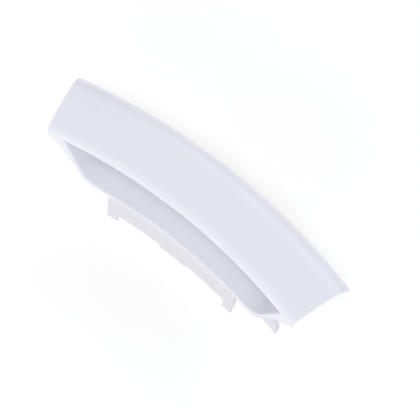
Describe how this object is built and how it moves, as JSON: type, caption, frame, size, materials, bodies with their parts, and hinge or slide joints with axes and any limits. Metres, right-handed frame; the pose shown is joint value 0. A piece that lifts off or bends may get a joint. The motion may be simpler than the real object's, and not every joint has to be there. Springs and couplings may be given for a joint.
{
  "type": "washing machine door handle",
  "caption": "Curved one-piece plastic door handle with a crowned strap, a finger pocket behind it and a skirt with snap tabs.",
  "frame": {"origin": "middle of the seating edge of the outer return wall, where the handle lies on the door ring", "axes": "+X along the handle, +Y from the door's centre towards its edge, +Z out of the door towards the user"},
  "size_m": [0.1812, 0.0483, 0.0643],
  "materials": {
    "white_plastic": "injection-moulded white plastic with a soft semi-gloss"
  },
  "bodies": {
    "root": {"door_handle": "white_plastic"}
  },
  "joints": []
}
